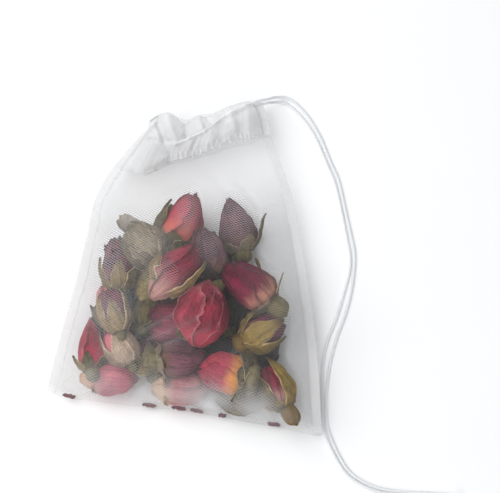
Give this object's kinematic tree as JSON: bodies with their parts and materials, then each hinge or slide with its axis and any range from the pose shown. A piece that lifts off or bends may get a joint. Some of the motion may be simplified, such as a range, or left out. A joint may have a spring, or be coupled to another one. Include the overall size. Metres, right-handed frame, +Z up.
{
  "type": "drawstring tea filter bag",
  "caption": "See-through nylon mesh pouch filled with dried rosebuds, lying on its back, with a drawstring through the gathered hem of its mouth.",
  "frame": {"origin": "on the surface the bag lies on, below the middle of the bag's own box, measured without its free cord", "axes": "+Z up from the surface, +Y from the folded bottom to the mouth, +X across the bag to the side where the cord comes out"},
  "size_m": [0.1078, 0.0982, 0.0243],
  "materials": {
    "nylon_mesh": "sheer white nylon mesh, translucent",
    "drawstring_cord": "white twisted nylon cord",
    "rosebud_crimson": "dry crimson petals, veined",
    "rosebud_pink": "dry pink petals, pale at their base",
    "rosebud_dusky": "dry dusky mauve petals with brown edges",
    "rosebud_olive": "dry olive-tan sepals, ribbed",
    "petal_crumb": "dry scraps of plum petal"
  },
  "bodies": {
    "root": {"mesh_bag": "nylon_mesh", "drawstring_in_hem": "drawstring_cord", "drawstring_strand_a": "drawstring_cord", "drawstring_strand_b": "drawstring_cord", "drawstring_knot": "drawstring_cord", "rosebud_01": "rosebud_pink", "rosebud_02": "rosebud_pink", "rosebud_03": "rosebud_olive", "rosebud_04": "rosebud_crimson", "rosebud_05": "rosebud_olive", "rosebud_06": "rosebud_dusky", "rosebud_07": "rosebud_dusky", "rosebud_08": "rosebud_olive", "rosebud_09": "rosebud_dusky", "rosebud_10": "rosebud_pink", "rosebud_11": "rosebud_dusky", "rosebud_12": "rosebud_dusky", "rosebud_13": "rosebud_olive", "rosebud_14": "rosebud_pink", "rosebud_15": "rosebud_dusky", "rosebud_16": "rosebud_dusky", "rosebud_17": "rosebud_olive", "rosebud_18": "rosebud_olive", "rosebud_19": "rosebud_olive", "rosebud_20": "rosebud_dusky", "rosebud_21": "rosebud_olive", "rosebud_22": "rosebud_pink", "rosebud_23": "rosebud_pink", "rosebud_24": "rosebud_crimson", "rosebud_25": "rosebud_crimson", "rosebud_26": "rosebud_olive", "rosebud_27": "rosebud_crimson", "rosebud_28": "rosebud_crimson", "petal_crumb_1": "petal_crumb", "petal_crumb_2": "petal_crumb", "petal_crumb_3": "petal_crumb", "petal_crumb_4": "petal_crumb", "petal_crumb_5": "petal_crumb", "petal_crumb_6": "petal_crumb"}
  },
  "joints": []
}
